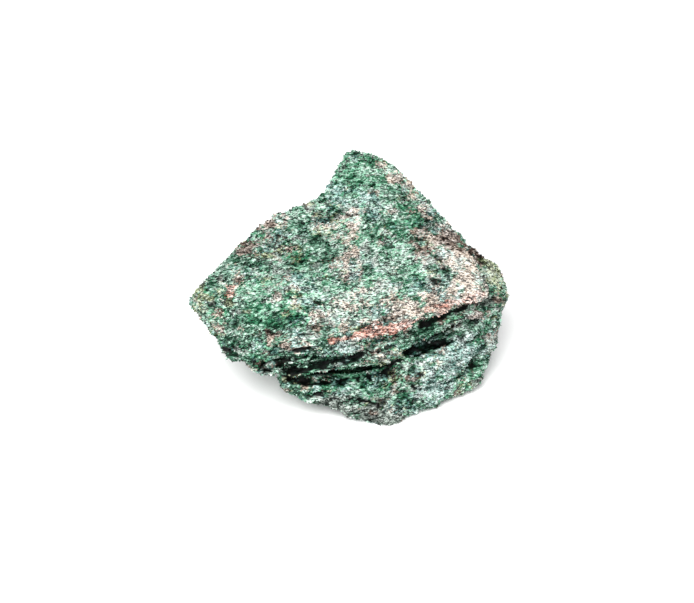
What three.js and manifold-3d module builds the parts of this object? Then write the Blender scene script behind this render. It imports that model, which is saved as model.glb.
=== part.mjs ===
// A raw chunk of fuchsite schist, lying loose on its underside.
// Millimetres, +Z up. The stone is longest along X, and its peak is at the back, on the +Y side.
//
// It is one solid. Convex masses give the broken faces, thin laminae of mica stick out between them as
// ledges, and wedge-shaped cracks are cut in where the layers have parted. Every block is bent by the same
// smooth noise before they are joined, so that no face stays flat but the one the stone rests on.

import * as THREE from 'three';
import { ConvexGeometry } from 'three/addons/geometries/ConvexGeometry.js';
import { ImprovedNoise } from 'three/addons/math/ImprovedNoise.js';
import { TessellateModifier } from 'three/addons/modifiers/TessellateModifier.js';
import { mergeVertices } from 'three/addons/utils/BufferGeometryUtils.js';
import Module from 'manifold-3d';

const wasm = await Module();
wasm.setup();

// ---- driving dimensions --------------------------------------------------------------------------------

const LENGTH = 60; // the finished stone along X
const LAYER_TILT = THREE.MathUtils.degToRad(22); // how steeply the mica layers rise toward the back
const CRACK_FALL = THREE.MathUtils.degToRad(16); // how steeply a crack falls into the stone
const UNDERCUT = 0.06; // how far a lamina narrows toward its lower side, as a share of its width
const FACET = 4; // the longest edge of the finished faceting

const SWELLS = [ // the smooth noise: each swell's width and height
  { span: 17, size: 0.9 },
  { span: 6, size: 0.6 },
];

// ---- masses: the corners of convex blocks ----------------------------------------------------------------

const cap = [
  // lip, from the left tip round the front corner to the nose
  [-29.2, -7.0, 19.2], [-26.4, -10.6, 16.9], [-24.2, -13.8, 14.8], [-22.5, -15.6, 13.4],
  [-18.8, -18.2, 12.9], [-15.6, -20.0, 12.8], [-8.6, -18.0, 15.2], [-0.4, -15.7, 16.5],
  [9.0, -13.0, 17.1], [14.2, -11.5, 17.8], [19.0, -10.1, 18.5], [24.2, -8.6, 19.3], [26.2, -7.1, 19.9],
  // upper rim, from the left tip over the back to the nose
  [-28.3, -6.9, 21.2], [-25.2, -2.9, 23.2], [-20.8, 2.6, 25.9], [-16.4, 6.6, 27.7], [-10.8, 9.9, 29.4],
  [-6.2, 12.9, 30.5], [10.1, 16.7, 31.8], [15.7, 11.3, 28.9], [19.1, 7.6, 25.9], [26.3, -5.6, 21.8],
  // top face, just behind its rounded front edge
  [-22.5, -10.5, 20.6], [-14.0, -15.6, 18.9], [0.0, -11.8, 20.6], [14.0, -7.6, 22.4], [23.0, -5.0, 22.6],
  // back
  [-24.5, 0.5, 19.0], [-17.0, 8.0, 20.5], [-6.0, 16.5, 22.5], [12.0, 17.5, 24.0], [20.0, 8.0, 20.0],
];

const peak = [
  [-5.4, 13.8, 30.5], [-2.9, 16.8, 32.5], [-0.2, 20.3, 34.5], [2.6, 20.7, 34.7], [5.9, 20.2, 34.5],
  [10.1, 17.0, 32.4], [15.7, 11.6, 29.1], [-3.0, 10.5, 28.8], [5.0, 4.0, 26.6], [13.0, 8.0, 28.2],
  [-5.0, 17.5, 24.0], [1.0, 22.5, 25.0], [9.0, 21.0, 24.0], [14.0, 16.0, 22.0],
];

const shoulder = [
  [19.4, 9.6, 23.5], [23.8, 7.2, 21.6], [26.8, 6.2, 20.9], [29.2, 4.2, 19.4], [30.2, 1.8, 17.9],
  [30.1, -0.7, 15.6], [28.8, -4.6, 10.4], [28.5, -4.5, 17.5], [20.0, -4.0, 18.0], [18.0, 13.0, 14.0],
  [25.0, 9.0, 14.0], [29.0, 4.0, 12.0], [27.5, 0.0, 9.0], [14.0, 10.0, 10.0],
];

const knob = [
  [19.2, 9.2, 23.9], [21.9, 9.6, 23.4], [23.4, 7.8, 21.6], [20.5, 12.0, 19.0], [18.0, 8.0, 19.0],
];

const middle = [
  // under the lip
  [-22.0, -15.2, 13.0], [-15.2, -19.3, 12.6], [-8.6, -17.8, 15.0], [-0.4, -16.0, 15.9], [7.0, -13.8, 15.8],
  [14.0, -11.3, 17.0], [24.0, -7.6, 18.4],
  // foot of the front face
  [-20.5, -15.8, 11.9], [-13.4, -18.7, 10.4], [-10.6, -17.7, 9.0], [2.4, -14.6, 7.8], [10.3, -12.2, 8.4],
  [18.0, -9.6, 11.4], [26.0, -6.0, 13.5],
  // inside
  [-24.0, -4.0, 17.0], [-16.0, 7.0, 16.0], [0.0, 16.0, 20.0], [18.0, 10.0, 18.0], [26.0, 2.0, 16.0],
];

const base = [
  // upper front edge, from the left to the right end
  [-13.3, -18.4, 8.9], [-5.0, -16.2, 7.6], [2.4, -14.6, 7.6], [9.9, -12.4, 8.4], [12.1, -11.4, 10.4],
  [18.3, -9.4, 12.0], [23.9, -7.5, 14.0], [28.8, -3.4, 12.3],
  // right end, then the lower front edge back to the left
  [28.2, -5.0, 9.6], [26.7, -7.3, 6.1], [25.8, -9.0, 4.0], [25.4, -9.7, 2.4], [20.4, -12.7, 0.9],
  [13.7, -15.4, 0.3], [10.3, -18.2, 0.2], [9.0, -19.6, 0.2], [7.4, -20.3, 0.2], [5.2, -19.9, 0.2],
  [2.0, -18.6, 0.5], [-0.8, -17.9, 1.2], [-6.8, -16.8, 3.0], [-9.4, -17.6, 4.6], [-12.4, -18.4, 7.2],
  // underside
  [18.0, -8.0, -0.8], [17.0, 2.0, -0.8], [10.0, 9.0, -0.8], [0.0, 8.0, -0.8], [-5.0, 2.0, -0.8],
  [-3.5, -9.0, -0.8], [5.0, -16.0, -0.8], [24.0, -2.0, 1.6], [21.0, 7.0, 1.4], [-8.5, -2.0, 1.5],
  // inside
  [26.0, 5.0, 9.0], [10.0, 12.0, 12.0], [-12.0, 4.0, 12.0],
];

const back = [
  // just under the back rim of the cap
  [-24.0, -1.0, 19.5], [-19.5, 5.0, 20.0], [-12.0, 11.0, 21.5], [-4.5, 17.0, 23.0], [1.5, 21.6, 25.0],
  [7.0, 21.3, 25.5], [13.0, 16.5, 24.0], [18.5, 11.0, 21.0], [25.5, 7.0, 17.5],
  // halfway down
  [-21.0, 3.0, 13.0], [-15.5, 10.5, 12.0], [-5.0, 18.5, 13.0], [5.0, 21.6, 14.0], [14.5, 17.6, 13.0],
  [23.0, 10.5, 12.0], [28.5, 3.0, 12.0],
  // foot
  [-13.0, 5.0, 4.0], [-9.0, 11.0, 3.0], [0.0, 16.0, 2.4], [11.0, 14.5, 1.6], [19.5, 9.0, 1.8],
  [25.0, 3.0, 2.8],
  // inside
  [-19.0, -10.0, 14.0], [-10.0, -13.0, 8.0], [22.0, -4.0, 12.0], [0.0, -8.0, 4.0],
];

// ---- laminae: thin plates between the masses ---------------------------------------------------------------
// A lamina lies along the layers: height is that of its lower side where it crosses y = 0. Its outline is
// seen from above and reaches well inside the stone, so that only its broken edge shows.

const frontLaminae = [
  { // under the left lip
    height: 18.0,
    thickness: 1.2,
    outline: [[-20.5, -15.4], [-18.2, -17.2], [-15.6, -18.8], [-13.2, -18.5], [-8.0, -17.1], [-6.0, -8.0],
      [-20.0, -6.0]],
  },
  { // ledge under the front lip
    height: 20.6,
    thickness: 1.2,
    outline: [[-8.0, -17.8], [-3.0, -17.7], [3.0, -16.6], [8.5, -14.2], [10.0, -6.0], [-6.0, -6.0]],
  },
  { // ledge in the recess under the nose
    height: 17.2,
    thickness: 2.0,
    outline: [[9.5, -12.9], [13.5, -12.2], [18.6, -10.6], [22.0, -8.6], [20.0, -2.0], [10.0, -4.0]],
  },
  { // between the two long front cracks
    height: 15.6,
    thickness: 1.4,
    outline: [[-13.2, -17.4], [-10.4, -17.9], [-2.0, -16.2], [6.0, -13.9], [4.0, -6.0], [-12.0, -6.0]],
  },
  { // step low on the left
    height: 11.8,
    thickness: 1.3,
    outline: [[-9.6, -16.7], [-6.0, -16.8], [0.0, -16.6], [4.0, -10.0], [-8.0, -8.0]],
  },
  { // rim along the right of the underside
    height: 6.0,
    thickness: 1.2,
    outline: [[13.0, -15.8], [20.6, -13.0], [25.4, -9.9], [24.0, -4.0], [14.0, -8.0]],
  },
];

const backLaminae = [ // from the top down
  {
    height: 16.6,
    thickness: 1.4,
    outline: [[-24.3, -3.0], [-20.3, 4.6], [-16.8, 7.0], [-11.0, 12.8], [-5.5, 17.0], [-4.0, 0.0],
      [-18.0, -8.0]],
  },
  {
    height: 14.8,
    thickness: 1.5,
    outline: [[-6.5, 17.6], [-1.0, 21.6], [4.5, 22.0], [9.4, 21.2], [15.0, 15.8], [18.6, 12.0], [8.0, 2.0]],
  },
  {
    height: 12.6,
    thickness: 1.8,
    outline: [[25.5, 9.0], [29.4, 3.4], [28.6, -2.4], [20.0, -2.0], [17.0, 12.0]],
  },
  {
    height: 9.6,
    thickness: 1.9,
    outline: [[-20.5, 4.6], [-16.2, 12.0], [-9.5, 15.4], [-4.6, 20.4], [1.4, 21.2], [0.0, 4.0]],
  },
  {
    height: 7.4,
    thickness: 1.6,
    outline: [[1.0, 21.8], [6.0, 22.4], [13.6, 19.2], [18.2, 15.0], [24.6, 10.2], [16.0, 0.0], [2.0, 8.0]],
  },
  {
    height: 3.2,
    thickness: 1.5,
    outline: [[-17.0, 7.6], [-11.4, 14.8], [-5.0, 17.6], [2.0, 21.4], [10.6, 20.4], [4.0, 4.0]],
  },
  {
    height: -1.2,
    thickness: 1.5,
    outline: [[0.5, 17.8], [6.0, 19.0], [13.4, 16.0], [20.2, 10.4], [22.6, 4.6], [14.0, 0.0]],
  },
];

// ---- cracks: wedges cut between the layers -------------------------------------------------------------------
// A crack runs between two points on the surface, counter-clockwise round the stone, and is widest midway.

const frontCracks = [
  { from: [-24.0, -15.0, 12.8], to: [-12.6, -20.2, 11.7], gap: 1.4, depth: 4 },
  { from: [-17.0, -20.0, 12.0], to: [2.4, -15.0, 13.1], gap: 2.3, depth: 6 },
  { from: [-18.0, -20.2, 13.4], to: [-3.0, -16.8, 16.0], gap: 1.3, depth: 3 },
  { from: [-12.4, -18.6, 9.2], to: [11.5, -12.2, 8.1], gap: 2.2, depth: 6 },
  { from: [9.5, -12.4, 10.6], to: [26.5, -7.0, 15.4], gap: 2.4, depth: 6 },
  { from: [8.0, -14.0, 16.2], to: [28.5, -6.0, 19.0], gap: 2.0, depth: 4 },
  { from: [-9.8, -17.4, 4.6], to: [-0.5, -17.0, 3.6], gap: 1.2, depth: 3 },
];

const backCracks = [
  { from: [31.0, -2.0, 12.0], to: [22.0, 12.0, 13.5], gap: 1.6, depth: 4 },
  { from: [27.0, 8.5, 15.5], to: [6.0, 23.5, 20.0], gap: 1.8, depth: 5 },
  { from: [24.0, 10.0, 8.2], to: [2.0, 20.0, 9.4], gap: 1.8, depth: 5 },
  { from: [6.0, 25.0, 22.0], to: [-15.0, 11.5, 18.5], gap: 2.0, depth: 5 },
  { from: [3.0, 22.6, 15.6], to: [-22.0, 5.6, 10.0], gap: 1.9, depth: 5 },
];

// ---- building blocks -------------------------------------------------------------------------------------

const WELD = 1e-4; // vertices closer than this are one
const MOST_SPLITS = 12; // how often an edge may be halved to come under FACET
const CRACK_SHOULDERS = [0.3, 0.7]; // where along a crack its full gap begins and ends
const CRACK_OVERSHOOT = 2; // how far a crack's mouth stands clear of the surface
const GROUND = { width: 4 * LENGTH, height: LENGTH };

const noise = new ImprovedNoise();

// Moves a point by the swells. Each axis reads its own far-off stretch of the noise.
function bend(point) {
  const shift = new THREE.Vector3();
  for (const { span, size } of SWELLS) {
    const { x, y, z } = point.clone().divideScalar(span);
    shift.x += size * noise.noise(x, y, z);
    shift.y += size * noise.noise(x + 31.4, y + 5.9, z);
    shift.z += size * noise.noise(x, y + 27.2, z + 81.3);
  }
  return point.add(shift);
}

function solidFrom(geometry) {
  geometry.deleteAttribute('normal');
  geometry.deleteAttribute('uv');
  const welded = mergeVertices(geometry, WELD);
  return new wasm.Manifold(new wasm.Mesh({
    numProp: 3,
    vertProperties: Float32Array.from(welded.attributes.position.array),
    triVerts: Uint32Array.from(welded.index.array),
  }));
}

function bentBlock(corners) {
  const geometry = new TessellateModifier(FACET, MOST_SPLITS).modify(new ConvexGeometry(corners));
  const position = geometry.attributes.position;
  for (let i = 0; i < position.count; i += 1) {
    const { x, y, z } = bend(new THREE.Vector3().fromBufferAttribute(position, i));
    position.setXYZ(i, x, y, z);
  }
  return solidFrom(geometry);
}

function mass(corners) {
  return bentBlock(corners.map((corner) => new THREE.Vector3(...corner)));
}

function lamina({ height, thickness, outline }) {
  const onLayer = ({ x, y }, rise) => new THREE.Vector3(x, y, rise + y * Math.tan(LAYER_TILT));
  const upper = outline.map((point) => new THREE.Vector2(...point));
  const centre = new THREE.Vector2();
  for (const point of upper) centre.addScaledVector(point, 1 / upper.length);
  const lower = upper.map((point) => point.clone().lerp(centre, UNDERCUT));
  return bentBlock([
    ...upper.map((point) => onLayer(point, height + thickness)),
    ...lower.map((point) => onLayer(point, height)),
  ]);
}

function crack({ from, to, gap, depth }) {
  const start = new THREE.Vector3(...from);
  const end = new THREE.Vector3(...to);
  const along = end.clone().sub(start).normalize();
  const inward = new THREE.Vector3(0, 0, 1).cross(along).normalize().applyAxisAngle(along, -CRACK_FALL);
  const up = along.clone().cross(inward);
  const corner = (share, rise, inside) => start.clone().lerp(end, share)
    .addScaledVector(up, rise)
    .addScaledVector(inward, inside);
  const corners = CRACK_SHOULDERS.flatMap((share) => [
    corner(share, gap / 2, -CRACK_OVERSHOOT),
    corner(share, -gap / 2, -CRACK_OVERSHOOT),
    corner(share, 0, depth),
  ]);
  return bentBlock([start, ...corners, end]);
}

function ground() {
  const box = new THREE.BoxGeometry(GROUND.width, GROUND.width, GROUND.height);
  return solidFrom(box.translate(0, 0, -GROUND.height / 2));
}

// ---- the stone -------------------------------------------------------------------------------------------

function stoneSolid() {
  const masses = [cap, peak, shoulder, knob, middle, base, back].map(mass);
  const laminae = [...frontLaminae, ...backLaminae].map(lamina);
  const cracks = [...frontCracks, ...backCracks].map(crack);
  const rough = [...masses, ...laminae].reduce((joined, solid) => joined.add(solid));
  return [...cracks, ground()].reduce((left, cut) => left.subtract(cut), rough);
}

// Scaled to its full length and set down on z = 0, with the origin under the middle of its outline.
function stoneGeometry() {
  const mesh = stoneSolid().getMesh();
  const geometry = new THREE.BufferGeometry();
  geometry.setAttribute('position', new THREE.BufferAttribute(mesh.vertProperties, 3));
  geometry.setIndex(new THREE.BufferAttribute(mesh.triVerts, 1));
  geometry.computeBoundingBox();
  const centre = geometry.boundingBox.getCenter(new THREE.Vector3());
  const size = geometry.boundingBox.getSize(new THREE.Vector3());
  const scale = LENGTH / size.x;
  return geometry.translate(-centre.x, -centre.y, -geometry.boundingBox.min.z).scale(scale, scale, scale);
}

const schist = new THREE.MeshStandardMaterial({ color: 0x7f9a86, roughness: 0.5, metalness: 0 });

const stone = new THREE.Mesh(stoneGeometry(), schist);
stone.name = 'fuchsite_stone';

const group = new THREE.Group();
group.add(stone);

export default group;
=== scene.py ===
"""Raw fuchsite: the looks of a lump of green mica schist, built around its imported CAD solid.

The solid is turned into a volume, roughened there, and turned back into one fine skin. Tens of thousands
of mica flakes are then bedded in the skin, each a closed wedge with a flat top and its own tilt and colour,
because that is what the rock is made of. Lengths on the rock are in millimetres until its mesh is made. The
camera, the lamp and the floor are in metres, as meshes are.
"""

import itertools
import math

import bpy
import numpy as np
import openvdb as vdb
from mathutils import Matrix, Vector


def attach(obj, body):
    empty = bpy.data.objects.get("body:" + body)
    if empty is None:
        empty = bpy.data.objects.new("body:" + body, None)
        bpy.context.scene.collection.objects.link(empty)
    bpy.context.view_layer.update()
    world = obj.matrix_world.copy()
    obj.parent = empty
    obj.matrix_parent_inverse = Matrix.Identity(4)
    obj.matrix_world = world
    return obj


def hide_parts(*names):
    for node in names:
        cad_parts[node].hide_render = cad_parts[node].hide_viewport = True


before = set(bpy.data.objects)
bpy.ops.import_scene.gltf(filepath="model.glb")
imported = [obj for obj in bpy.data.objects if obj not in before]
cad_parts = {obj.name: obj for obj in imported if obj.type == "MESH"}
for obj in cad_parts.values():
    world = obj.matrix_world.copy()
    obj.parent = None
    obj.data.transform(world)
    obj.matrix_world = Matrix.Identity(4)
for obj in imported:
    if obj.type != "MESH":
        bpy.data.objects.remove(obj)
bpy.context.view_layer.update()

MM = 0.001

# ---- the rock ------------------------------------------------------------------------------------------

LAYER_TILT = math.radians(22)  # the mica layers rise toward the back, as in the solid
ACROSS_LAYERS = np.array([0.0, -math.sin(LAYER_TILT), math.cos(LAYER_TILT)])
UP_LAYERS = np.array([0.0, math.cos(LAYER_TILT), math.sin(LAYER_TILT)])
ALONG_LAYERS = np.array([1.0, 0.0, 0.0])

VOXEL = 0.38  # of the volume that the skin is made in
BAND = 9  # voxels on each side of the surface that hold a distance
RELIEF_REACH = 3.2  # relief changes the volume this near its surface

SUNK = 0.16  # how far the skin lies inside the solid, which leaves room for the flakes
CAVITY_REACH = 4  # voxels, over which the rock around a place is looked at
CRACK = (0.05, 0.22)  # how much nearer the rock is all round where a crack begins, and where it is deep
DENT = (0.12, 0.45)  # the same for the finished skin, whose hollows get painted shade and fewer flakes
CREVICE_PAINTED_SHADE = (-0.3, 0.0)  # the same for how far inside a crevice a place is, which sets its painted shade

FLAKES = 60000
FLAKE_LENGTH = 0.55  # along the streaks, for a middling flake
FLAKE_WIDTH = 0.17
FLAKE_SIDES = 4
FLAKE_SMOOTHING = 3  # rounds, so that a flake at a sharp edge lies over it in place of sticking out
LARGEST_FLAKE = 1.6  # times a middling one
FLAKE_ROOT = 0.3  # how far a middling flake's buried corner lies below its top
ON_FACE = 0.9  # how strongly a flake lies along the face that it is on
ON_LAYERS = 0.2  # how strongly it lies along the mica layers
MOST_FLAKES = 33000  # in one piece, which keeps it under 200,000 triangles

BAKE_MAP = "OFBake"  # the name of the map that colours are baked to, wherever the stone is used
MAP_SMOOTHING = 60  # rounds, so that each part of the skin's map is a broad one
MAP_GAP = 1.0  # between those parts


# ---- repeatable noise ------------------------------------------------------------------------------------


def scatter(cells, seed):
    """A number from 0 to 1 for each whole-number cell (N x 3), the same on every run."""
    x, y, z = cells.astype(np.int64).astype(np.uint32).T
    h = x * np.uint32(374761393) + y * np.uint32(668265263) + z * np.uint32(2246822519)
    h = h + np.uint32(seed * 3266489917 % 2**32)
    h = (h ^ (h >> np.uint32(15))) * np.uint32(2246822519)
    h = (h ^ (h >> np.uint32(13))) * np.uint32(3266489917)
    return (h ^ (h >> np.uint32(16))) / 2.0**32


def swell(places, seed):
    """Smooth noise from -1 to 1 with about one swell to a unit."""
    low = np.floor(places)
    part = places - low
    part = part * part * (3 - 2 * part)
    total = np.zeros(len(places))
    for corner in itertools.product((0, 1), repeat=3):
        weight = np.prod(np.where(corner, part, 1 - part), axis=1)
        total += weight * scatter(low + corner, seed)
    return 2 * total - 1


def rough(places, seed, octaves=3):
    """Swells of halving width and height."""
    return sum(swell(places * 2**k, seed + k) / 2**k for k in range(octaves))


def facets(places, seed):
    """Heights of a crumpled surface: each cell of a random mosaic is a flat facet with a tilt of its own."""
    low = np.floor(places)
    nearest = np.full(len(places), np.inf)
    height = np.zeros(len(places))
    for step in itertools.product((-1, 0, 1), repeat=3):
        cell = low + step
        core = cell + np.stack([scatter(cell, seed + k) for k in range(3)], axis=1)
        away = places - core
        reach = (away * away).sum(axis=1)
        tilt = np.stack([scatter(cell, seed + 3 + k) - 0.5 for k in range(3)], axis=1)
        closer = reach < nearest
        nearest = np.where(closer, reach, nearest)
        lift = 2 * (away * tilt).sum(axis=1) + scatter(cell, seed + 6) - 0.5
        height = np.where(closer, lift, height)
    return height


def unit(vectors):
    return vectors / np.maximum(np.linalg.norm(vectors, axis=1, keepdims=True), 1e-12)


def smoothstep(value, low, high):
    part = np.clip((value - low) / (high - low), 0, 1)
    return part * part * (3 - 2 * part)


def distance_to(places, start, end):
    """How far each place is from the straight line between two points."""
    along = end - start
    from_start = places - start
    share = np.clip(from_start @ along / (along @ along), 0, 1)
    return np.linalg.norm(from_start - share[:, None] * along, axis=1)


def in_layers(places):
    """Places in the layers' own directions: along the strike, up the layers, and across them."""
    return places @ np.stack([ALONG_LAYERS, UP_LAYERS, ACROSS_LAYERS], axis=1)


# ---- the skin ----------------------------------------------------------------------------------------------


def solid_mesh(thing):
    """A mesh object's corners in millimetres and its triangles."""
    mesh = thing.data
    mesh.calc_loop_triangles()
    points = np.empty(len(mesh.vertices) * 3, np.float32)
    mesh.vertices.foreach_get("co", points)
    triangles = np.empty(len(mesh.loop_triangles) * 3, np.int32)
    mesh.loop_triangles.foreach_get("vertices", triangles)
    return points.reshape(-1, 3) / np.float32(MM), triangles.reshape(-1, 3).astype(np.uint32)


def relief(layered, normals, hollow):
    """How far the rock stands out from the solid: swells, broken facets and chips, and layer edges.

    Layer edges, and the splits between them, are only on faces that cut across the layers."""
    cut_across = smoothstep(1 - np.abs(normals @ ACROSS_LAYERS), 0.06, 0.4)
    lumps = 0.26 * rough(layered / (7, 7, 4), seed=11)
    broken = 0.30 * facets(layered / (3.4, 2.6, 1.3), seed=41)
    chips = 0.15 * facets(layered / (1.5, 1.1, 0.7), seed=61)
    edges = 0.34 * swell(layered / (6, 5, 0.9), seed=21) + 0.20 * swell(layered / (4, 4, 0.5), seed=31)
    split = 1 - smoothstep(np.abs(swell(layered / (9, 9, 1.5), seed=71)), 0.06, 0.24)
    split *= smoothstep(swell(layered / (8, 6, 2.2), seed=76), -0.2, 0.3)
    out = lumps + broken + chips + (edges - 0.9 * split) * cut_across - SUNK
    return out * (1 - hollow)


class Crevice:
    """A split that runs along a path, opened between two layers: gap is across them, depth along them."""

    def __init__(self, gap, depth, *path):
        self.gap = gap
        self.scale = np.array((depth, depth, gap / 2))
        self.path = in_layers(np.array(path, float)) / self.scale

    def inside(self, layered, ragged):
        """How far inside the crevice each place is: 1 along its middle, 0 at its walls, negative beyond."""
        spots = layered / self.scale
        away = np.full(len(spots), np.inf)
        for start, end in itertools.pairwise(self.path):
            away = np.minimum(away, distance_to(spots, start, end))
        return 1 - away - 0.3 * ragged


# Crevices are cut into the rock, and places in them also get painted shade.
CREVICES = [  # the dark lines of the front, from the top down, then those of the other sides
    Crevice(0.9, 1.2, (14, -12, 16.7), (17.5, -10.5, 17), (20, -9.5, 17.5), (26, -5.5, 17.5)),
    Crevice(1.3, 1.3, (11.5, -13, 11.5), (15.5, -11.5, 12), (20, -10, 13)),
    Crevice(1.0, 1.3, (19, -10.3, 12.8), (22, -8.5, 14), (24.5, -8, 14.5)),
    Crevice(0.6, 0.8, (-14.5, -20, 15.5), (-9.5, -19, 16.5), (-6, -18.3, 16.5)),
    Crevice(1.1, 1.2, (-15, -20.4, 14), (-11, -19.6, 14.5), (-7.5, -18.8, 15)),
    Crevice(0.8, 1.0, (3.0, -16.8, 13.3), (5.5, -15.4, 12.1)),
    Crevice(0.9, 1.1, (-23, -17, 14.5), (-19.5, -19.3, 14), (-17.5, -20.3, 13.8)),
    Crevice(0.9, 1.2, (-14.5, -20.3, 11.5), (-10.5, -19.2, 11)),
    Crevice(1.3, 1.4, (-10.5, -19.2, 11), (-7.5, -18.5, 11.5), (-1.5, -16.8, 11.5), (1.5, -15.8, 12.5)),
    Crevice(0.7, 1.1, (-13, -20, 10.5), (-10.5, -19.2, 9.2), (-3.5, -18, 8.4)),
    Crevice(1.0, 1.2, (-4.5, -18.2, 8.5), (0, -16.4, 8), (6, -15.5, 8.5), (9.5, -15.2, 9.8)),
    Crevice(0.9, 0.8, (-7.5, -20, 6.3), (-5, -19.6, 6.6)),
    Crevice(0.7, 0.7, (-0.5, -19.5, 5.4), (2.5, -19.6, 4.4), (5.3, -19.7, 3.5)),
    Crevice(0.7, 0.7, (12.0, -15.9, 8.2), (13.4, -15.8, 7.9)),
    Crevice(0.7, 0.45, (11.8, -17.1, 6.3), (13.9, -17.6, 4.0)),
    Crevice(0.7, 0.45, (10.3, -18.5, 4.8), (12.7, -18.4, 2.8)),
    Crevice(0.8, 1.0, (-9, 13.5, 16.8), (-5, 16.7, 17.6), (-2, 19.2, 19)),
    Crevice(0.7, 0.9, (-2.5, 19.4, 18.2), (1, 20.5, 18.8), (5, 20.9, 19.9)),
    Crevice(0.8, 1.0, (7, 19.2, 13.9), (11, 17.2, 12.6), (14, 15.6, 12.4)),
    Crevice(0.6, 0.9, (13, 16, 11.6), (18, 13.5, 11)),
    Crevice(0.8, 1.0, (-22, 2.3, 18.2), (-18.5, 5.5, 19.9), (-16.5, 7.5, 20.2)),
    Crevice(0.7, 0.9, (-17, 7.2, 21), (-12.5, 11.3, 22.1)),
    Crevice(0.8, 1.0, (28.5, -3, 12), (28, 3, 14.4), (24.5, 8, 16.5)),
]


def crevices_at(layered):
    """How far inside a crevice each place is, in millimetres, and how much painted shade that puts there."""
    ragged = rough(layered / (1.6, 1.2, 1.0), seed=66)
    inside = [crevice.inside(layered, ragged) for crevice in CREVICES]
    depth = np.max([crevice.gap / 2 * share for crevice, share in zip(CREVICES, inside)], axis=0)
    # the second value is painted shade, full at a crevice's walls and inside it
    return depth, smoothstep(np.max(inside, axis=0), *CREVICE_PAINTED_SHADE)


def blurred(field):
    """Each voxel shared a little with its neighbours, which takes the knife edges off."""
    for axis in range(3):
        field = 0.5 * field + 0.25 * (np.roll(field, 1, axis) + np.roll(field, -1, axis))
    return field


class Hollows:
    """How hollow the skin is at places in millimetres, from 0 on open faces to 1 deep in a crevice."""

    def __init__(self, field, low):
        self.field = field
        self.low = low

    def at(self, places):
        spot = np.clip(places / VOXEL - self.low, 0, np.array(self.field.shape) - 1.001)
        low = np.floor(spot).astype(int)
        part = spot - low
        total = np.zeros(len(places))
        for corner in itertools.product((0, 1), repeat=3):
            weight = np.prod(np.where(corner, part, 1 - part), axis=1)
            total += weight * self.field[tuple((low + corner).T)]
        # deep in a crevice a place counts as hollow, which gives it painted shade and fewer flakes
        return np.maximum(total, crevices_at(in_layers(places))[1])


def hollowness(field, low, high):
    """From 0 on open faces to 1 in a hollow, by how far the rock all round closes in on a place."""
    around = field
    for axis in range(3):
        steps = range(-CAVITY_REACH, CAVITY_REACH + 1)
        around = sum(np.roll(around, step, axis) for step in steps) / len(steps)
    return smoothstep(field - around, low, high)


def skin_mesh(thing):
    """The skin's corners in millimetres and its faces, from the solid by way of a volume, and its hollows."""
    points, triangles = solid_mesh(thing)
    spacing = vdb.createLinearTransform(voxelSize=VOXEL)
    solid = vdb.FloatGrid.createLevelSetFromPolygons(
        points, triangles=triangles, transform=spacing, halfWidth=float(BAND)
    )
    low, high = (np.array(corner) for corner in solid.evalActiveVoxelBoundingBox())
    field = np.empty(high - low + 1, np.float32)
    solid.copyToArray(field, ijk=tuple(int(i) for i in low))
    outside = field.max()

    near = np.abs(field) < RELIEF_REACH
    layered = in_layers((np.argwhere(near) + low) * VOXEL)
    field = blurred(field)
    inside, crevice_painted_shade = crevices_at(layered)
    field[near] = np.maximum(field[near], inside)
    slopes = np.stack([slope[near] for slope in np.gradient(field)], axis=1)
    hollow = np.maximum(crevice_painted_shade, hollowness(field, *CRACK)[near])
    field[near] -= relief(layered, unit(slopes), hollow)
    below_ground = -(np.arange(field.shape[2]) + low[2]) * VOXEL
    field = np.maximum(field, below_ground.astype(np.float32))

    rough_rock = vdb.FloatGrid(float(outside))
    rough_rock.transform = spacing
    rough_rock.copyFromArray(field, ijk=tuple(int(i) for i in low))
    points, _, quads = rough_rock.convertToPolygons(isovalue=0.0, adaptivity=0.0)
    points, faces = largest_body(np.array(points, float), np.array(quads, int)[:, ::-1])
    return points, faces, Hollows(hollowness(field, *DENT), low)


def largest_body(points, faces):
    """Leaves out crumbs that the relief has cut loose."""
    label = np.arange(len(points))
    while True:
        lowest = label[faces].min(axis=1)
        spread = label.copy()
        np.minimum.at(spread, faces.ravel(), np.repeat(lowest, faces.shape[1]))
        spread = spread[spread]
        if (spread == label).all():
            break
        label = spread
    body = np.bincount(label).argmax()
    kept = label == body
    place = np.cumsum(kept) - 1
    return points[kept], place[faces[kept[faces[:, 0]]]]


# ---- meshes ------------------------------------------------------------------------------------------------


def new_piece(name, points, faces, material, spread=None):
    """A mesh object from corners in millimetres and faces that all have the same number of corners.

    spread is where each face's corners lie on the map that its colours may be baked to."""
    mesh = bpy.data.meshes.new(name)
    count, sides = faces.shape
    mesh.vertices.add(len(points))
    mesh.vertices.foreach_set("co", (points * MM).astype(np.float32).ravel())
    mesh.loops.add(count * sides)
    mesh.loops.foreach_set("vertex_index", faces.astype(np.int32).ravel())
    mesh.polygons.add(count)
    mesh.polygons.foreach_set("loop_start", np.arange(0, count * sides, sides, dtype=np.int32))
    mesh.update(calc_edges=True)
    if spread is not None:
        mesh.uv_layers.new(name=BAKE_MAP).uv.foreach_set("vector", spread.astype(np.float32).ravel())
    mesh.validate()
    mesh.materials.append(material)
    piece = bpy.data.objects.new(name, mesh)
    bpy.context.scene.collection.objects.link(piece)
    return piece


def face_normals(points, faces):
    """Each face's unit normal and its area."""
    across = np.cross(points[faces[:, 2]] - points[faces[:, 0]], points[faces[:, -1]] - points[faces[:, 1]])
    twice = np.linalg.norm(across, axis=1)
    return across / np.maximum(twice, 1e-12)[:, None], twice / 2


def smoothed(points, faces, rounds):
    """The corners drawn toward the middles of the faces round them, again and again."""
    around = faces.ravel()
    shares = np.bincount(around)[:, None]
    for _ in range(rounds):
        middles = np.repeat(points[faces].mean(axis=1), faces.shape[1], axis=0)
        points = np.stack([np.bincount(around, middles[:, k]) for k in range(3)], axis=1) / shares
    return points


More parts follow.
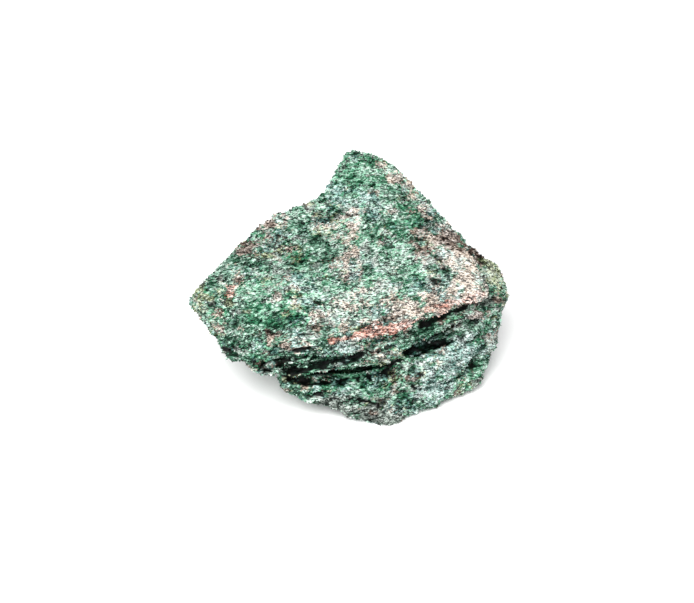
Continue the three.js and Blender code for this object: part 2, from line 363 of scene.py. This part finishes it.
def box_spread(points, faces):
    """Where the skin lies on its map: six views along the axes, each of the rock that faces that way."""
    normals, _ = face_normals(smoothed(points, faces, MAP_SMOOTHING), faces)
    axis = np.abs(normals).argmax(axis=1)
    each = np.arange(len(faces))
    behind = normals[each, axis] < 0
    low, high = points.min(axis=0), points.max(axis=0)
    seen = np.array([(1, 2), (0, 2), (0, 1)])[axis]  # the two axes that a view along each one shows
    corners = points[faces] - low
    flat = np.stack([corners[each, :, seen[:, 0]], corners[each, :, seen[:, 1]]], axis=2)
    width, height = (high - low)[:2] + MAP_GAP
    flat += np.stack([behind * width, axis * height], axis=1)[:, None]
    return flat / max(2 * width, 3 * height)


# ---- colours -----------------------------------------------------------------------------------------------


def palette(*shades):
    """Shades from dark to light, given as 0 to 255, as light that a surface sends back."""
    share = np.array(shades) / 255
    return np.where(share <= 0.04045, share / 12.92, ((share + 0.055) / 1.055) ** 2.4)


# The lightest shade of each palette is partly the rock's own pale colour and partly a painted glint.
GREEN = palette((4, 20, 12), (18, 60, 40), (58, 108, 82), (110, 156, 132), (166, 204, 184), (222, 238, 228))
EMERALD = palette((3, 22, 12), (14, 70, 42), (46, 118, 82), (98, 162, 128), (154, 204, 176), (216, 238, 226))
TEAL = palette((8, 24, 22), (36, 76, 68), (88, 136, 126), (142, 182, 172), (188, 216, 208), (224, 238, 234))
SALMON = palette(
    (44, 22, 16), (122, 78, 66), (194, 136, 120), (222, 174, 158), (236, 206, 194), (246, 230, 222)
)
CREAM = palette(
    (28, 21, 17), (96, 80, 69), (158, 140, 126), (200, 185, 170), (222, 211, 198), (238, 230, 221)
)
BROWN = palette((20, 14, 12), (62, 50, 43), (108, 92, 82), (152, 136, 124), (196, 184, 174), (228, 220, 213))
GREY = palette((14, 20, 17), (56, 66, 60), (104, 118, 109), (148, 161, 151), (192, 204, 195), (226, 234, 228))
OLIVE = palette((18, 22, 12), (66, 76, 46), (118, 130, 92), (162, 174, 136), (200, 209, 181), (230, 235, 216))


class Patch:
    """A stretch of rock with more grains of one colour than elsewhere, round the line from start to end."""

    def __init__(self, colours, start, end, reach, share, lift=0.0):
        self.colours = colours
        self.start = np.array(start, float)
        self.end = np.array(end, float)
        self.reach = reach
        self.share = share
        self.lift = lift

    def hold(self, places, ragged):
        """From 0 outside the patch to 1 well inside it."""
        away = distance_to(places, self.start, self.end)
        return 1 - smoothstep(away + 0.5 * self.reach * ragged, 0.6 * self.reach, 1.3 * self.reach)


PATCHES = [  # those of the front, then those of the other sides
    Patch(TEAL, (-1, 11, 30), (3, 8.5, 29.5), 3.0, 0.8, lift=-0.04),
    Patch(EMERALD, (-1, 16.5, 33.5), (3, 14.5, 32.5), 4.0, 0.7),
    Patch(CREAM, (0, 7.5, 28.5), (1, 6, 28), 1.6, 0.8, lift=0.2),
    Patch(CREAM, (-0.5, 2, 26.5), (1.5, -8.5, 22.5), 1.5, 0.55, lift=0.1),
    Patch(CREAM, (7, 16.5, 33.5), (14.5, 8, 29), 1.6, 0.5, lift=0.08),
    Patch(EMERALD, (9, 1.5, 26.5), (10, -3, 24.5), 2.6, 0.4, lift=0.12),
    Patch(GREEN, (-20, -14, 19.5), (-14.5, -17, 19), 2.2, 0.6, lift=0.08),
    # These two green patches are darkened as painted shade under the cap's left lip.
    Patch(GREEN, (-20.9, -13.6, 20.3), (-13.2, -15.6, 19.5), 0.9, 0.8, lift=-0.25),
    Patch(GREEN, (-23.5, -15.4, 17.3), (-19.7, -16.6, 16), 1.0, 0.8, lift=-0.3),
    Patch(BROWN, (-15, -16.8, 19.5), (-14.6, -17, 18.8), 0.8, 0.8, lift=-0.3),
    Patch(SALMON, (-22, -8.5, 22), (-21, -8, 22), 1.4, 0.5),
    Patch(CREAM, (-23, -5, 22), (-18, -9, 22), 3, 0.2, lift=0.1),
    Patch(CREAM, (-13.5, -18, 18), (-8.5, -18.4, 17.4), 1.5, 0.5, lift=0.12),
    Patch(EMERALD, (-18.5, -7.5, 22.5), (-15.5, -13.5, 21), 3.0, 0.8, lift=0.04),
    Patch(CREAM, (-5.5, -13.5, 20.5), (8.5, -11, 21), 3.2, 0.3, lift=0.08),
    Patch(BROWN, (-15, 5.5, 28), (-19, 2.5, 26), 3.4, 0.45, lift=-0.06),
    Patch(BROWN, (12, 1.5, 26.5), (16, -6.5, 23), 1.1, 0.55, lift=0.04),
    Patch(CREAM, (12.5, 4, 27.5), (17.5, 0, 26.5), 1.6, 0.4, lift=0.14),
    Patch(CREAM, (17, -9.5, 21), (10, -12, 20), 2.2, 0.8, lift=0.14),
    Patch(CREAM, (21, -1, 25), (23, -8, 21.5), 3.4, 0.9, lift=0.13),
    Patch(SALMON, (-3.5, -17.1, 17.2), (1, -16, 17.3), 0.6, 0.8),
    Patch(SALMON, (1.5, -15.8, 17.4), (5, -14.6, 18.2), 1.3, 0.9, lift=0.02),
    Patch(SALMON, (5, -14.8, 17.6), (15, -12.2, 18.3), 0.9, 1.0, lift=-0.04),
    Patch(SALMON, (15, -11.4, 19.2), (24, -8.5, 20.6), 1.2, 0.7, lift=0.06),
    Patch(BROWN, (18, 2.5, 26.5), (24.5, 4, 21), 2.6, 0.9, lift=-0.18),
    Patch(OLIVE, (27.5, 1, 19.5), (28, 0, 17), 3.0, 0.7, lift=0.06),
    Patch(TEAL, (16, -15.5, 6.5), (21, -12, 10), 4.2, 0.7, lift=0.24),
    Patch(BROWN, (11.3, -16.5, 7.5), (12, -16, 7.5), 1.0, 0.7),
    Patch(BROWN, (21.8, -9.6, 16.3), (27, -6.2, 14.5), 1.1, 0.9, lift=0.2),
    # This green patch is darkened as painted shade in the recess under the right lip.
    Patch(GREEN, (12.5, -12.8, 15.5), (17, -11, 15.5), 1.1, 0.8, lift=-0.25),
    Patch(OLIVE, (20, -10.3, 15.8), (21, -10.1, 15.7), 0.9, 0.8, lift=0.08),
    Patch(EMERALD, (18.2, -11.3, 15.4), (18.8, -11.1, 15.2), 0.8, 0.9, lift=0.4),
    Patch(TEAL, (-1.0, -17.4, 15.9), (3.2, -16.8, 15.6), 1.1, 0.8, lift=0.3),
    Patch(GREY, (-4, -20.5, 4.5), (8, -20.5, 1.0), 2.2, 0.9, lift=-0.1),
    Patch(SALMON, (-14, 10, 24.5), (-2, 19.3, 28.3), 0.9, 0.8),
    Patch(CREAM, (-2, 19.3, 28.3), (4, 20.3, 28.7), 1.4, 0.7, lift=0.1),
    Patch(SALMON, (4, 20.3, 28.7), (16, 12, 25.4), 1.1, 0.8),
    Patch(CREAM, (4, 20.8, 18), (9, 18, 20), 1.8, 0.7, lift=0.1),
    Patch(TEAL, (-6, 15, 10), (2, 17, 8), 3.5, 0.8, lift=0.12),
    Patch(EMERALD, (10, 17, 13), (15, 14.5, 18), 3.5, 0.8, lift=0.04),
    Patch(BROWN, (-14, 11, 14), (-9, 14, 17), 2.4, 0.6),
    Patch(CREAM, (-21.5, 0, 14), (-21, -6, 13.5), 1.8, 0.6, lift=0.08),
    Patch(OLIVE, (-27, -4, 19), (-27.5, -9, 19), 2.0, 0.5),
    Patch(SALMON, (27.5, 0, 8.5), (22.5, 8, 9.5), 0.9, 0.7),
    Patch(TEAL, (25, -4, 4), (24, 3, 4), 3.0, 0.6, lift=0.08),
    Patch(BROWN, (-14, -10, 9), (-8, -4, 2.5), 3.0, 0.5),
    Patch(EMERALD, (-20, 0, 12), (-14, -14, 10), 3.5, 0.6),
    Patch(CREAM, (2, 6, 0.5), (8, 0, 0), 2.5, 0.5, lift=0.08),
]


# A search over 1,500 seeds each picked 257, 764, 1107, 1149, 1234 and 1438, for swells that fall where the
# real stone's front is light, dark or of that colour.
SWELLS = [  # of light and dark: how strong, over what span, noise seed
    (0.21, (1.5, 1.0, 0.9), 101),
    (0.24, (3.4, 2.4, 1.4), 257),
    (0.12, (8, 6, 2), 764),
]
STRAYS = [  # grains found everywhere: colours, usual share, how that varies, over what span, noise seed
    (CREAM, 0.03, 0.16, (4, 3, 2), 1107),
    (BROWN, 0.04, 0.16, (5, 3, 2), 1149),
    (OLIVE, 0.05, 0.14, (5, 3, 2), 125),
    (GREY, 0.12, 0.36, (3, 2, 1.6), 311),
    (EMERALD, 0.26, 0.60, (4, 3, 2), 1234),
    (TEAL, 0.16, 0.44, (5, 4, 2), 1438),
]
TONE = 0.7  # of a middling grain, from 0 for its palette's darkest shade to 1 for its lightest
TONE_SPREAD = 0.12  # from grain to grain
STREAKS = 0.56  # how strongly the fine streaks of light and dark show
PALE = 0.8  # the tone above which grains are only half as much lighter as they would be
HOLLOW_PAINTED_SHADE_TONE = 0.5  # painted shade: how much darker a grain's tone is deep in a hollow
HOLLOW_PAINTED_SHADE = 0.95  # painted shade as well: the share of its light that a grain deep in a hollow then loses
SKIN_LIGHT_WITH_PAINTED_SHADE = 0.9  # painted shade between the flakes: how light the skin's colours are beside the flakes'
CLUMP = (1.8, 1.3, 0.9)  # mm, of grains that tend to share a colour


def shade(colours, tone):
    """The palette's colour at each tone, from 0 for its darkest to 1 for its lightest."""
    steps = np.linspace(0, 1, len(colours))
    return np.stack([np.interp(tone, steps, colours[:, k]) for k in range(3)], axis=1)


def streak_directions(places):
    """Which way the grain runs: rising to the right over most of the stone, falling along its right side."""
    turn = 0.2 - 0.75 * smoothstep(places[:, 0] + 0.8 * places[:, 1], 6, 24)
    turn += 0.45 * swell(in_layers(places) / (3, 2.4, 1.6), seed=141)
    return np.cos(turn)[:, None] * ALONG_LAYERS + np.sin(turn)[:, None] * UP_LAYERS


def streaky(places, directions, seed):
    """Fine noise from about -1 to 1, drawn out along the direction at each place."""
    steps = np.linspace(-0.35, 0.35, 4)
    total = sum(swell((places + step * directions) / 0.18, seed) for step in steps)
    return total / math.sqrt(len(steps))


def grain_colours(places, hollow, rng):
    """A colour for each grain of the rock, with painted shade deep in hollows, and its tone."""
    count = len(places)
    layered = in_layers(places)
    tone = TONE + TONE_SPREAD * rng.standard_normal(count)
    tone += STREAKS * streaky(places, streak_directions(places), seed=96)
    for strength, span, seed in SWELLS:
        tone += strength * swell(layered / span, seed)
    ragged = rough(layered / (1.6, 1.2, 1.0), seed=131)
    clump = np.floor((layered + 0.3 * rng.standard_normal((count, 3))) / CLUMP)
    draw = scatter(clump, seed=126)
    kinds = [GREEN]
    kind = np.zeros(count, int)
    for colours, usual, patchy, span, seed in STRAYS:
        share = usual + patchy * swell(layered / span, seed)
        kind[draw < share] = len(kinds)
        kinds.append(colours)
        draw = np.where(draw < share, 2.0, draw - np.maximum(share, 0))
    for number, patch in enumerate(PATCHES):
        held = patch.hold(places, ragged)
        tone += patch.lift * held
        kind[scatter(clump, seed=161 + number) < patch.share * held] = len(kinds)
        kinds.append(patch.colours)
    # Grains deep in hollows get painted shade: a lower tone here, and darker colours below.
    tone = np.minimum(tone, PALE + 0.5 * (tone - PALE)) - HOLLOW_PAINTED_SHADE_TONE * hollow
    colours = np.zeros((count, 3))
    for number, shades in enumerate(kinds):
        colours[kind == number] = shade(shades, tone[kind == number])
    return colours * (1 - HOLLOW_PAINTED_SHADE * hollow)[:, None], tone


# ---- flakes ------------------------------------------------------------------------------------------------


def flake_places(points, faces, hollows, rng):
    """Random places on the skin, evenly by area but few in hollows, and which way the rock faces there."""
    normals, _ = face_normals(smoothed(points, faces, FLAKE_SMOOTHING), faces)
    _, areas = face_normals(points, faces)
    areas = areas * (1 - hollows.at(points[faces[:, 0]])) ** 2
    chosen = rng.choice(len(faces), FLAKES, p=areas / areas.sum())
    corner = points[faces[chosen]]
    across, along = rng.uniform(size=(2, FLAKES, 1))
    near = corner[:, 0] * (1 - across) + corner[:, 1] * across
    far = corner[:, 3] * (1 - across) + corner[:, 2] * across
    return near * (1 - along) + far * along, normals[chosen]


def flake_meshes(places, normals, tone, rng):
    """Corners of flakes (N x 5 x 3): a flat top with FLAKE_SIDES corners, then one buried in the rock."""
    count = len(places)
    leaf = ACROSS_LAYERS * np.sign(normals @ ACROSS_LAYERS)[:, None]
    facing = unit(ON_FACE * normals + ON_LAYERS * leaf)
    strike = streak_directions(places) + 0.2 * rng.standard_normal((count, 3))
    strike = unit(strike - facing * (strike * facing).sum(axis=1, keepdims=True))
    beside = np.cross(facing, strike)
    crumple = 0.24 * swell(in_layers(places) / (2.2, 0.8, 0.8), seed=151) + 0.15 * rng.standard_normal(count)
    facing = unit(facing + crumple[:, None] * beside + 0.08 * rng.standard_normal((count, 1)) * strike)
    strike = unit(strike - facing * (strike * facing).sum(axis=1, keepdims=True))
    beside = np.cross(facing, strike)

    size = np.minimum(rng.lognormal(0.0, 0.35, (count, 1)), LARGEST_FLAKE)
    start = rng.uniform(0, 2 * math.pi, (count, 1))
    step = np.arange(FLAKE_SIDES) + rng.uniform(-0.25, 0.25, (count, FLAKE_SIDES))
    turn = start + 2 * math.pi * step / FLAKE_SIDES
    radius = 0.5 * size * rng.uniform(0.8, 1.15, (count, FLAKE_SIDES))
    out = (radius * np.cos(turn) * FLAKE_LENGTH)[:, :, None] * strike[:, None]
    out = out + (radius * np.sin(turn) * FLAKE_WIDTH)[:, :, None] * beside[:, None]

    lift = (0.04 + 0.06 * (tone - 0.5) + 0.03 * rng.standard_normal(count)).clip(-0.04, 0.1)
    middle = places + facing * lift[:, None]
    root = middle - facing * (FLAKE_ROOT * size)
    corners = np.concatenate([middle[:, None] + out, root[:, None]], axis=1)
    corners[:, :, 2] = np.maximum(corners[:, :, 2], 0.0)
    return corners


def flake_faces(count):
    """Triangles for that many flakes: for each, a fan that is its top, and a fan to its buried corner."""
    top = [(0, k, k + 1) for k in range(1, FLAKE_SIDES - 1)]
    under = [((k + 1) % FLAKE_SIDES, k, FLAKE_SIDES) for k in range(FLAKE_SIDES)]
    one = np.array(top + under)
    return (one[None] + np.arange(count)[:, None, None] * (FLAKE_SIDES + 1)).reshape(-1, 3)


def flake_spread(count):
    """Where the flakes lie on their map: each in a square of its own, with its sides round its top."""
    turn = 2 * math.pi * np.arange(FLAKE_SIDES) / FLAKE_SIDES
    top = 0.47 * np.stack([np.cos(turn), np.sin(turn)], axis=1)
    turn = turn + math.pi / FLAKE_SIDES
    tips = 0.66 * np.stack([np.cos(turn), np.sin(turn)], axis=1)
    fan = [(top[0], top[k], top[k + 1]) for k in range(1, FLAKE_SIDES - 1)]
    flaps = [(top[(k + 1) % FLAKE_SIDES], top[k], tips[k]) for k in range(FLAKE_SIDES)]
    one = np.array(fan + flaps).reshape(-1, 2)
    across = math.ceil(math.sqrt(count))
    row, column = np.divmod(np.arange(count), across)
    square = np.stack([column, row], axis=1) + 0.5
    return (square[:, None] + one) / across


def add_flakes(points, faces, hollows, material):
    rng = np.random.default_rng(7)
    places, normals = flake_places(points, faces, hollows, rng)
    colours, tone = grain_colours(places, hollows.at(places), rng)
    corners = flake_meshes(places, normals, tone, rng)
    pieces = []
    for number, first in enumerate(range(0, FLAKES, MOST_FLAKES), start=1):
        part = slice(first, first + MOST_FLAKES)
        count = len(corners[part])
        name = f"mica_flakes_{number}"
        piece = new_piece(
            name, corners[part].reshape(-1, 3), flake_faces(count), material, flake_spread(count)
        )
        paint(piece, np.repeat(colours[part], FLAKE_SIDES + 1, axis=0))
        piece.data.shade_flat()
        pieces.append(piece)
    return pieces


def paint(piece, colours):
    """Gives each corner of the mesh its colour, which the material reads."""
    layer = piece.data.attributes.new("grain", "FLOAT_COLOR", "POINT")
    filled = np.concatenate([colours, np.ones((len(colours), 1))], axis=1)
    layer.data.foreach_set("color", filled.astype(np.float32).ravel())


# ---- materials ---------------------------------------------------------------------------------------------

PAINTED_SHADE_WANDER = 1.1  # how far the painted shade round the grains strays, in grains

def new_material(name):
    material = bpy.data.materials.new(name)
    material.use_nodes = True
    tree = material.node_tree
    return material, tree, tree.nodes["Principled BSDF"]


def layered_place(tree, length, width):
    """Places on the stone as the layers lie, in units of length along their strike and of width across it."""
    place = tree.nodes.new("ShaderNodeTexCoord")
    stretch = tree.nodes.new("ShaderNodeMapping")
    stretch.vector_type = "TEXTURE"
    stretch.inputs["Rotation"].default_value = (LAYER_TILT, 0, 0)
    stretch.inputs["Scale"].default_value = (length * MM, width * MM, width * MM)
    tree.links.new(place.outputs["Object"], stretch.inputs["Vector"])
    return stretch.outputs["Vector"]


def lightness(tree, pattern, low, high, darkest):
    """How light a pattern leaves the rock: darkest where the pattern is low, 1 where it is high."""
    ramp = tree.nodes.new("ShaderNodeMapRange")
    ramp.inputs["From Min"].default_value = low
    ramp.inputs["From Max"].default_value = high
    ramp.inputs["To Min"].default_value = darkest
    tree.links.new(pattern, ramp.inputs["Value"])
    return ramp.outputs["Result"]


def noise(tree, place, detail, curl=0.0):
    texture = tree.nodes.new("ShaderNodeTexNoise")
    texture.inputs["Scale"].default_value = 1
    texture.inputs["Detail"].default_value = detail
    texture.inputs["Distortion"].default_value = curl
    tree.links.new(place, texture.inputs["Vector"])
    return texture


def scaled(tree, vector, by):
    scale = tree.nodes.new("ShaderNodeVectorMath")
    scale.operation = "SCALE"
    tree.links.new(vector, scale.inputs[0])
    tree.links.new(by, scale.inputs["Scale"])
    return scale.outputs["Vector"]


def mica(name, lines, painted_grain_shade, shine):
    """Mica in the colours that the mesh holds, darkened down to lines and to painted shade by two patterns.

    The lines are short, curl, and run along the layers. The painted shade wanders round grains of 1 to 2
    millimetres, and fades out over some of the stone."""
    material, tree, surface = new_material(name)
    colour = tree.nodes.new("ShaderNodeAttribute")
    colour.attribute_name = "grain"
    streaks = noise(tree, layered_place(tree, length=0.65, width=0.25), detail=2, curl=0.9)
    light = lightness(tree, streaks.outputs["Fac"], low=0.41, high=0.54, darkest=lines)

    # Painted shade between grains: the rock is darkened along the wandering edges of grains.
    wander = tree.nodes.new("ShaderNodeVectorMath")
    wander.operation = "MULTIPLY_ADD"
    wander.inputs[1].default_value = (PAINTED_SHADE_WANDER, PAINTED_SHADE_WANDER, PAINTED_SHADE_WANDER)
    bends = noise(tree, layered_place(tree, length=0.9, width=0.6), detail=2)
    tree.links.new(bends.outputs["Color"], wander.inputs[0])
    tree.links.new(layered_place(tree, length=1.7, width=1.1), wander.inputs[2])
    grains = tree.nodes.new("ShaderNodeTexVoronoi")
    grains.feature = "DISTANCE_TO_EDGE"
    grains.inputs["Scale"].default_value = 1
    tree.links.new(wander.outputs["Vector"], grains.inputs["Vector"])
    edge = lightness(tree, grains.outputs["Distance"], low=0.02, high=0.1, darkest=painted_grain_shade)
    faint = noise(tree, layered_place(tree, length=4, width=2.5), detail=1)
    covered = lightness(tree, faint.outputs["Fac"], low=0.42, high=0.58, darkest=0)
    kept = tree.nodes.new("ShaderNodeMix")
    kept.inputs["A"].default_value = 1
    tree.links.new(covered, kept.inputs["Factor"])
    tree.links.new(edge, kept.inputs["B"])

    shaded = scaled(tree, scaled(tree, colour.outputs["Color"], light), kept.outputs["Result"])
    tree.links.new(shaded, surface.inputs["Base Color"])
    surface.inputs["Roughness"].default_value = 0.45
    surface.inputs["Specular IOR Level"].default_value = shine
    return material


def plain(name, colour, roughness):
    material, _, surface = new_material(name)
    surface.inputs["Base Color"].default_value = (*colour, 1)
    surface.inputs["Roughness"].default_value = roughness
    return material


# ---- the object --------------------------------------------------------------------------------------------


def build_stone():
    points, faces, hollows = skin_mesh(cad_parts["fuchsite_stone"])
    rng = np.random.default_rng(3)
    rock = mica("rock", lines=0.1, painted_grain_shade=0.1, shine=0.05)
    stone = new_piece("stone", points, faces, rock, box_spread(points, faces))
    colours, _ = grain_colours(points, hollows.at(points), rng)
    # The skin between the flakes is painted a little darker, as painted shade.
    paint(stone, SKIN_LIGHT_WITH_PAINTED_SHADE * colours)
    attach(stone, "root")
    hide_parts("fuchsite_stone")
    for flakes in add_flakes(points, faces, hollows, mica("mica", lines=0.08, painted_grain_shade=0.05, shine=0.2)):
        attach(flakes, "root")


# ---- floor, light and camera -------------------------------------------------------------------------------

VIEW_ELEVATION = math.radians(38)
VIEW_DISTANCE = 0.3685
VIEW_TARGET = Vector((-0.0005, -0.0012, 0.0141))  # near the middle of the stone
LENS = 100
FLOOR_REACH = 1.5


def add_camera():
    camera = bpy.data.cameras.new("camera")
    camera.lens = LENS
    camera.clip_start = 0.01
    back = Vector((0, -math.cos(VIEW_ELEVATION), math.sin(VIEW_ELEVATION)))
    holder = bpy.data.objects.new("camera", camera)
    holder.location = VIEW_TARGET + back * VIEW_DISTANCE
    holder.rotation_euler = back.to_track_quat("Z", "Y").to_euler()
    bpy.context.scene.collection.objects.link(holder)
    bpy.context.scene.camera = holder


def add_lamp(name, place, size, power):
    """A square soft light that points at the stone."""
    light = bpy.data.lights.new(name, "AREA")
    light.size = size
    light.energy = power
    lamp = bpy.data.objects.new(name, light)
    lamp.location = place
    lamp.rotation_euler = (lamp.location - VIEW_TARGET).to_track_quat("Z", "Y").to_euler()
    bpy.context.scene.collection.objects.link(lamp)


def add_floor():
    mesh = bpy.data.meshes.new("floor")
    corners = [(x * FLOOR_REACH, y * FLOOR_REACH, 0) for x, y in ((-1, -1), (1, -1), (1, 1), (-1, 1))]
    mesh.from_pydata(corners, [], [(0, 1, 2, 3)])
    mesh.materials.append(plain("paper", (0.92, 0.92, 0.92), 0.9))
    floor = bpy.data.objects.new("floor", mesh)
    bpy.context.scene.collection.objects.link(floor)


def add_sky():
    world = bpy.data.worlds.new("studio")
    world.use_nodes = True
    world.node_tree.nodes["Background"].inputs["Color"].default_value = (1, 1, 1, 1)
    world.node_tree.nodes["Background"].inputs["Strength"].default_value = 0.75
    bpy.context.scene.world = world


def add_studio():
    add_sky()
    add_floor()
    add_lamp("key", place=(-0.08, -0.31, 0.44), size=0.3, power=4.2)
    add_camera()
    bpy.context.scene.view_settings.view_transform = "Standard"


build_stone()
add_studio()
